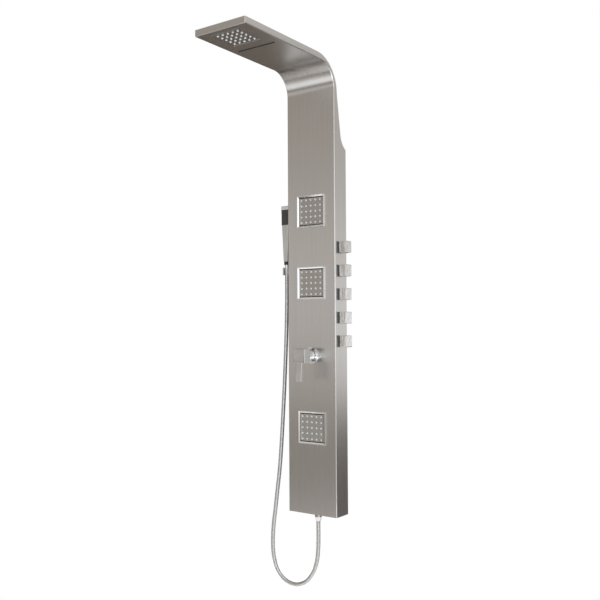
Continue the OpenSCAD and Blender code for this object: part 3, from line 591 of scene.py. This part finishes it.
def makeJetFrame(v):
    half, front = v["frame"] / 2, frontFace - v["proud"]
    frameShape = addBlock("jetFrameBlank", (-half, front, -half), (half, frontFace - v["joint"], half))
    startEdit(frameShape)
    pickFaces(frameShape, lambda c, n: n.y < -0.9)
    bpy.ops.mesh.inset(thickness=v["land"], depth=0)
    bpy.ops.mesh.inset(thickness=(v["frame"] - v["opening"]) / 2 - v["land"], depth=-v["proud"] + v["step"])
    sink = v["floor"] - frontFace + v["step"]
    bpy.ops.mesh.extrude_region_move(TRANSFORM_OT_translate={"value": (0, sink, 0)})
    pickFaces(frameShape, lambda c, n: n.y > 0.9 and c.y < frontFace + mm and max(abs(c.x), abs(c.z)) < mm)
    bpy.ops.mesh.inset(thickness=(v["frame"] - v["box"]) / 2, depth=0)
    bpy.ops.mesh.extrude_region_move(TRANSFORM_OT_translate={"value": (0, v["boxBack"] - frontFace, 0)})
    bpy.ops.mesh.select_mode(type="EDGE")
    pickEdges(frameShape, lambda a, b: abs(a.y - b.y) > mm and min(abs(a.x), abs(b.x)) > half - slack)
    bpy.ops.mesh.bevel(offset=v["cornerRadius"], segments=5, affect="EDGES")
    endEdit()
    softenEdges(frameShape, v["edge"], 3, 25)
    return frameShape


def makeJetPlate(v):
    half = v["plate"] / 2
    tall = v["plateTall"] / 2
    plate = addBlock("jetPlateBlank", (-half, frontFace, -tall), (half, frontFace + v["plateThick"], tall))
    startEdit(plate)
    pickFaces(plate, lambda c, n: n.y < -0.9)
    bpy.ops.mesh.inset(thickness=v["rim"], depth=0)
    bpy.ops.mesh.inset(thickness=v["rimSlope"], depth=-v["recess"])
    bpy.ops.mesh.select_mode(type="EDGE")
    pickEdges(plate, lambda a, b: abs(a.y - b.y) > mm)
    bpy.ops.mesh.bevel(offset=v["plateCorner"], segments=4, affect="EDGES")
    endEdit()
    y, long = frontFace + v["plateThick"] / 2, v["pivotLong"]
    rods = [addRod("pivot", (x, y, 0), (1, 0, 0), v["pivotRadius"], long)
            for x in (-half - long + v["pivotSunk"], half - v["pivotSunk"])]
    plate = joinPieces("jetPlateBlank", [plate] + rods)
    softenEdges(plate, v["plateEdge"], 2, 25)
    return plate


frameBlank, plateBlank = makeJetFrame(jet), makeJetPlate(jet)
for place, z in zip(jet["names"], casing["jetHoles"]):
    housing = copyPiece(frameBlank, place + "JetHousing", (0, 0, z))
    finishPiece(housing, chrome, "chrome", "column", place + "_jet_frame")
    # painted shade: the housing's inner walls and floor turn dark
    paintShadeOnFaces(housing, lambda c, n: c.y > frontFace + jet["paintedShadeFrom"])
    face = copyPiece(plateBlank, place + "JetFace", (0, 0, z))
    finishPiece(face, plateSteel, "plate_steel", place + "_jet", place + "_jet_plate")
bpy.data.objects.remove(frameBlank)
bpy.data.objects.remove(plateBlank)
print("jets made")

sprayFace = {
    "half": 0.0628, "rimHalf": 0.0568, "rimWide": 0.0022, "low": 0.3555, "thick": 0.0012,
    "proud": 0.0023, "floorProud": 0.0002, "edge": 0.0003,
}


def makeSprayFace(v):
    y, half = casing["sprayPlace"], v["half"]
    face = addBlock("sprayFace", (-half, y - half, v["low"]), (half, y + half, v["low"] + v["thick"]))
    startEdit(face)
    pickFaces(face, lambda c, n: n.z < -0.9)
    bpy.ops.mesh.inset(thickness=half - v["rimHalf"], depth=0)
    bpy.ops.mesh.extrude_region_move(TRANSFORM_OT_translate={"value": (0, 0, -v["proud"])})
    bpy.ops.mesh.inset(thickness=v["rimWide"], depth=0)
    bpy.ops.mesh.extrude_region_move(TRANSFORM_OT_translate={"value": (0, 0, v["proud"] - v["floorProud"])})
    endEdit()
    softenEdges(face, v["edge"], 3, 30)
    finishPiece(face, plateSteel, "plate_steel", "column", "spray_plate")


makeSprayFace(sprayFace)

mixer = {
    "height": -0.642, "flangeRadius": 0.028, "flangeFront": -0.077, "flangeEdge": 0.0008,
    "sleeveRadius": 0.0185, "shadowGap": 0.0012, "grooveWide": 0.0006, "grooveDeep": 0.0008,
    "hub": (0.045, 0.035, 0.048), "hubBack": -0.113, "hubEdge": 0.0016, "crown": 0.0005, "land": 0.004,
    "boreDeep": 0.0195, "cutLong": 0.03, "paintedShadeRim": 0.0015,
    "leverWidth": 0.022, "leverTop": 0.007, "leverTip": 0.011, "leverLong": 0.062, "leverRoot": 0.006,
    "lean": 6,                  # degrees that the lever's tip stands away from the column
    "bladeSunk": 0.0015, "bladeEdge": 0.0011, "bend": -0.04, "bendSwell": 0.0008,
}


def makeMixer(v):
    z = v["height"]
    thick = frontFace - v["flangeFront"]
    flange = addRod("mixerRose", (0, v["flangeFront"], z), (0, 1, 0), v["flangeRadius"], thick, 96)
    startEdit(flange)
    pickFaces(flange, lambda c, n: n.y < -0.9)
    bpy.ops.mesh.inset(thickness=v["flangeRadius"] - v["sleeveRadius"] - v["shadowGap"], depth=0)
    bpy.ops.mesh.inset(thickness=v["grooveWide"], depth=-v["grooveDeep"])    # shadow around the sleeve
    endEdit()
    start = (0, v["flangeFront"] - 10 * mm, z)
    cutAway(flange, addRod("cut", start, (0, 1, 0), v["sleeveRadius"] - mm, v["cutLong"], 64))
    softenEdges(flange, v["flangeEdge"], 3, 25)
    finishPiece(flange, chrome, "chrome", "column", "mixer_flange")
    # painted shade: the groove and the faces round the sleeve get dark plastic
    paintShadeOnFaces(flange, lambda c, n: math.hypot(c.x, c.z - z) < v["sleeveRadius"] + v["shadowGap"])
    width, deep, tall = v["hub"]
    hubFront = v["hubBack"] - deep
    hub = addBlock("mixerBlock", (-width / 2, hubFront + v["crown"], z - tall / 2),
                   (width / 2, v["hubBack"], z + tall / 2))
    startEdit(hub)
    pickFaces(hub, lambda c, n: n.y < -0.9)
    bpy.ops.mesh.inset(thickness=v["land"], depth=0)
    bpy.ops.transform.translate(value=(0, -v["crown"], 0))
    endEdit()
    bore = addRod("cut", (0, v["hubBack"] - v["boreDeep"], z), (0, 1, 0), v["sleeveRadius"] + v["shadowGap"],
                  v["cutLong"], 64)
    cutAway(hub, bore)
    softenEdges(hub, v["hubEdge"], 4, 35)
    finishPiece(hub, darkChrome, "chrome", "mixer_handle", "mixer_hub")
    # painted shade: the bore and its rim inside the block get dark plastic
    paintedShadeEdge = v["sleeveRadius"] + v["paintedShadeRim"]
    paintShadeOnFaces(hub, lambda c, n: math.hypot(c.x, c.z - z) < paintedShadeEdge and c.y > hubFront + 10 * mm)
    wide, top, tip = v["leverWidth"], v["leverTop"], v["leverTip"]
    under, face = z - tall / 2, hubFront + v["bladeSunk"]
    lever = addBlock("mixerBlade", (-wide / 2, 0, -v["leverLong"]), (wide / 2, top, v["leverRoot"]))
    startEdit(lever)
    bpy.ops.mesh.select_all(action="SELECT")
    bpy.ops.mesh.bisect(plane_co=(0, 0, v["bend"]), plane_no=(0, 0, 1))
    shape = bmesh.from_edit_mesh(lever.data)
    for vert in shape.verts:
        if vert.co.y > mm and vert.co.z < v["bend"] - 5 * mm:
            vert.co.y = tip
        elif vert.co.y > mm and vert.co.z < v["bend"] + 10 * mm:
            vert.co.y = top + v["bendSwell"]
    bmesh.update_edit_mesh(lever.data)
    endEdit()
    softenEdges(lever, v["bladeEdge"], 4, 35)
    lever.rotation_euler = (math.radians(-v["lean"]), 0, 0)
    lever.location = (0, face, under)
    activate(lever)
    bpy.ops.object.transform_apply(location=True, rotation=True, scale=True)
    finishPiece(lever, darkChrome, "chrome", "mixer_handle", "mixer_lever")
    print("mixer made")


makeMixer(mixer)

handset = {
    "axisX": -0.131, "axisY": -0.036, "foot": -0.308, "top": -0.107,
    "headSize": (0.034, 0.024), "footSize": 0.018, "capTall": 0.014,
    "cornerRadius": 0.0032, "bodyEdge": 0.0005, "capEdge": 0.0009,
    "faceTall": 0.055, "faceWidth": 0.029, "faceDeep": 0.0042, "joint": 0.0006,
}


def tapered(name, axis, low, high, lowSize, highSize, edge):
    piece = addBlock(name, (axis[0] - lowSize[0] / 2, axis[1] - lowSize[1] / 2, low),
                     (axis[0] + lowSize[0] / 2, axis[1] + lowSize[1] / 2, high))
    startEdit(piece)
    pickFaces(piece, lambda c, n: n.z > 0.9)
    bpy.ops.transform.resize(value=(highSize[0] / lowSize[0], highSize[1] / lowSize[1], 1))
    bpy.ops.mesh.select_mode(type="EDGE")
    pickEdges(piece, lambda a, b: abs(a.z - b.z) > 4 * mm)
    bpy.ops.mesh.bevel(offset=edge, segments=6, affect="EDGES")
    endEdit()
    return piece


def makeHandset(v):
    axis = (v["axisX"], v["axisY"])
    neck = v["top"] - v["capTall"]
    body = tapered("handsetBody", axis, v["foot"], neck, (v["footSize"], v["footSize"]), v["headSize"],
                   v["cornerRadius"])
    front = v["axisY"] - v["headSize"][1] / 2
    reach = v["faceWidth"] / 2 + v["joint"]
    recess = addBlock("cut", (axis[0] - reach, front - 20 * mm, neck - v["faceTall"]),
                      (axis[0] + reach, front + v["faceDeep"], neck + 10 * mm))
    cutAway(body, recess)
    softenEdges(body, v["bodyEdge"], 3, 28)
    finishPiece(body, darkChrome, "chrome", "hand_shower", "hand_body")
    cap = tapered("handsetCap", axis, neck, v["top"], v["headSize"], v["headSize"], v["cornerRadius"])
    softenEdges(cap, v["capEdge"], 3, 28)
    finishPiece(cap, chrome, "chrome", "hand_shower", "hand_cap")
    print("hand shower made")


makeHandset(handset)

# the other parts keep their own shape and only get a finish
finishOf = (
    (solidSteel, "arm_cover", "bottom_cap"),
    (zinc, "hanger_rail", "upper_bracket", "lower_bracket", "carrier_pin", "mixer_stem", "inlet_strainers",
     "holder_screws"),
    (plateSteel, "spray_plate"),
    (silicone, "rain_nozzles"),
    (blackRubber, "rain_gasket", "hand_collar"),
    (palePlastic, "rain_chamber", "mixer_cartridge", "stem_carrier"),
    # knob_collars take dark plastic as painted shade in the gap beside the panel
    (darkPlasticAndPaintedShade, "cascade_spout", "knob_collars", "hand_face"),
    (brassMetal, "manifold", "valve_cartridges", "mixer_valve", "hand_outlet"),
    (tubePlastic, "feed_tube", "rain_tube", "cascade_tube", "jet_tubes", "hand_tube"),
    (chrome, "mixer_flange", "mixer_sleeve", "mixer_hub", "mixer_lever", "outlet_nut", "hand_nut",
     "hand_body", "hand_cap", "holder_base", "holder_cup"),
)
nodeFinish = {name: material for material, *names in finishOf for name in names}
for place in jet["names"]:
    nodeFinish[place + "_jet_frame"] = chrome
    nodeFinish[place + "_jet_plate"] = plateSteel
    nodeFinish[place + "_jet_nozzles"] = greySilicone
for place in knob["bodies"]:
    nodeFinish[place + "_knob"] = chrome
    nodeFinish[place + "_spindle"] = brassMetal
for name, material in nodeFinish.items():
    nodes[name].data.materials.clear()
    nodes[name].data.materials.append(material)
print("finishes given to the other parts")

studio = {
    "floorHeight": -1.62, "floorMiddle": -0.15, "floorSize": (2.2, 1.5), "floorGlow": 0.45,
    "heights": [(0.0, 0.2), (0.11, 0.25), (0.17, 0.5), (0.22, 1.1), (0.33, 1.25), (0.36, 0.8), (0.38, 0.26),
                (0.42, 0.2), (0.445, 0.34), (0.465, 0.58), (0.50, 0.72), (0.56, 0.63), (0.60, 0.48),
                (0.66, 0.40), (0.75, 0.6), (1.0, 0.9)],
    "sideHeights": [(0.0, 0.3), (0.40, 0.07), (0.437, 0.09), (0.452, 0.7), (0.47, 0.98), (0.50, 1.05),
                    (0.55, 0.8), (0.60, 0.62), (1.0, 0.9)],
    "sideShare": [(0.5, 0), (0.56, 1.9), (0.74, 1.9), (0.78, 0)],
    "around": [(0.0, 0.8), (0.05, 1.15), (0.11, 0.6), (0.135, 1.35), (0.155, 1.0), (0.175, 0.65), (0.2, 1.3),
               (0.27, 0.9), (0.33, 2.6), (0.47, 2.6), (0.52, 0.8), (0.6, 0.9), (0.64, 1.2), (0.66, 0.9),
               (0.69, 1.1), (0.76, 0.6), (0.79, 0.2), (0.94, 0.2)],
    "strength": 1.0,
}


def makeFloor(values):
    clearSelection()
    bpy.ops.mesh.primitive_plane_add(size=1, location=(0, values["floorMiddle"], values["floorHeight"]))
    floor = bpy.context.object
    floor.name = "floor"
    floor.scale = (*values["floorSize"], 1)
    material, tree, shader = newMaterial("floorPale", Roughness=0.9)
    shader.inputs["Base Color"].default_value = (0.9, 0.9, 0.9, 1)
    shader.inputs["Emission Color"].default_value = (1, 1, 1, 1)
    shader.inputs["Emission Strength"].default_value = values["floorGlow"]
    floor.data.materials.append(material)


def fillRamp(ramp, stops, warm):
    while len(ramp.elements) > 1:
        ramp.elements.remove(ramp.elements[-1])
    for k, (place, value) in enumerate(stops):
        stop = ramp.elements.new(place) if k else ramp.elements[0]
        stop.position = place
        green, blue = value ** (1 + warm), value ** (1 + 2 * warm)      # darker is warmer
        stop.color = (value / 2, green / 2, blue / 2, 1)


def makeStudio(values):
    world = bpy.data.worlds.new("studio")
    bpy.context.scene.world = world
    world.use_nodes = True
    tree = world.node_tree
    room = tree.nodes["Background"]
    coords = tree.nodes.new("ShaderNodeTexCoord")
    split = tree.nodes.new("ShaderNodeSeparateXYZ")
    tree.links.new(coords.outputs["Generated"], split.inputs[0])
    height = spread(tree, split.outputs["Z"], 0, 1, -1, 1)
    angle = addNode(tree, "ShaderNodeMath")
    angle.operation = "ARCTAN2"
    tree.links.new(split.outputs["Y"], angle.inputs[0])
    tree.links.new(split.outputs["X"], angle.inputs[1])
    turn = spread(tree, angle.outputs[0], 0, 1, -math.pi, math.pi)
    ramps = []
    for source, stops, warm in ((height, values["heights"], 0.12), (height, values["sideHeights"], 0.1),
                                (turn, values["sideShare"], 0), (turn, values["around"], 0.1)):
        ramp = tree.nodes.new("ShaderNodeValToRGB")
        fillRamp(ramp.color_ramp, stops, warm)
        tree.links.new(source, ramp.inputs[0])
        ramps.append(ramp.outputs["Color"])
    sides = tree.nodes.new("ShaderNodeMix")
    sides.data_type = "RGBA"
    tree.links.new(ramps[2], sides.inputs[0])
    tree.links.new(ramps[0], sides.inputs[6])
    tree.links.new(ramps[1], sides.inputs[7])
    product = tree.nodes.new("ShaderNodeMix")
    product.data_type = "RGBA"
    product.blend_type = "MULTIPLY"
    product.inputs[0].default_value = 1
    tree.links.new(sides.outputs[2], product.inputs[6])
    tree.links.new(ramps[3], product.inputs[7])
    tree.links.new(product.outputs[2], room.inputs["Color"])
    room.inputs["Strength"].default_value = 4 * values["strength"]
    seen = addNode(tree, "ShaderNodeBackground", Color=(1, 1, 1, 1), Strength=1.0)
    rays = tree.nodes.new("ShaderNodeLightPath")
    mix = tree.nodes.new("ShaderNodeMixShader")
    tree.links.new(rays.outputs["Is Camera Ray"], mix.inputs[0])
    tree.links.new(room.outputs[0], mix.inputs[1])
    tree.links.new(seen.outputs[0], mix.inputs[2])
    tree.links.new(mix.outputs[0], tree.nodes["World Output"].inputs["Surface"])


makeFloor(studio)
makeStudio(studio)
print("stage set")

clearSelection()
